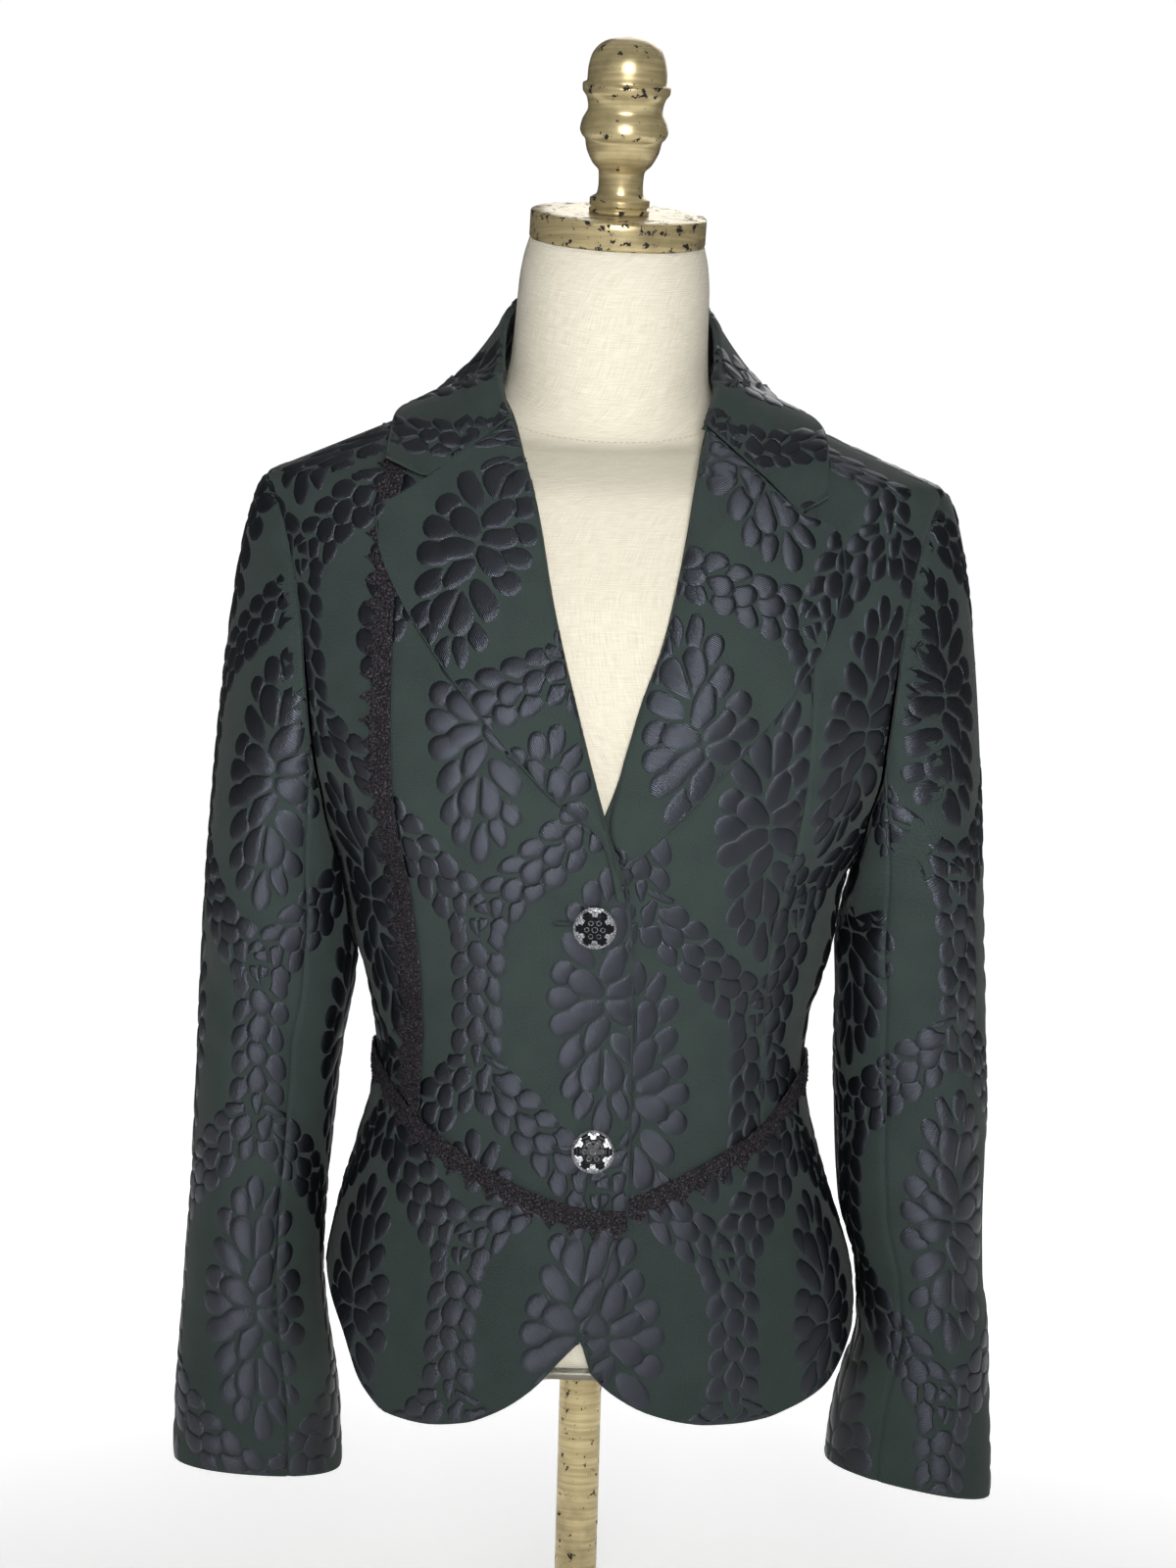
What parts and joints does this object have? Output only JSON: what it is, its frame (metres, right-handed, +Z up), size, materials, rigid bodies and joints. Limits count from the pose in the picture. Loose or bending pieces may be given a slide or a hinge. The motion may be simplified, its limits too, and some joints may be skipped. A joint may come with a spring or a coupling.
{
  "type": "jacquard jacket on a dress form",
  "caption": "Fitted jacquard jacket with notched lapels, lace trims and a curved peplum, buttoned on a limbless dress form with a turned finial, slim pole and round base.",
  "frame": {"origin": "middle of the stand base's underside", "axes": "+Z up along the pole; -Y is the front of the jacket; +X is the wearer's left"},
  "size_m": [0.4815, 0.2739, 0.9794],
  "materials": {
    "jacquard": "dark green plain ground with raised near-black floral figure",
    "lace": "matte black openwork trim",
    "button_gloss": "glossy black rosette with a silver rim",
    "linen": "cream linen, plain weave",
    "antique_gold": "worn satin gold paint with dark chips"
  },
  "bodies": {
    "root": {"front_right": "jacquard", "front_left": "jacquard", "side_front_right": "jacquard", "side_front_left": "jacquard", "back_right": "jacquard", "back_left": "jacquard", "peplum_front_right": "jacquard", "peplum_front_left": "jacquard", "peplum_back": "jacquard", "upper_sleeve_right": "jacquard", "upper_sleeve_left": "jacquard", "under_sleeve_right": "jacquard", "under_sleeve_left": "jacquard", "collar": "jacquard", "lapel_right": "jacquard", "lapel_left": "jacquard", "lace_front": "lace", "lace_waist_right": "lace", "lace_waist_left": "lace", "lace_waist_back": "lace", "button_upper": "button_gloss", "button_lower": "button_gloss", "form_torso": "linen", "neck_cap": "antique_gold", "finial": "antique_gold", "stand_pole": "antique_gold", "stand_base": "antique_gold"}
  },
  "joints": []
}
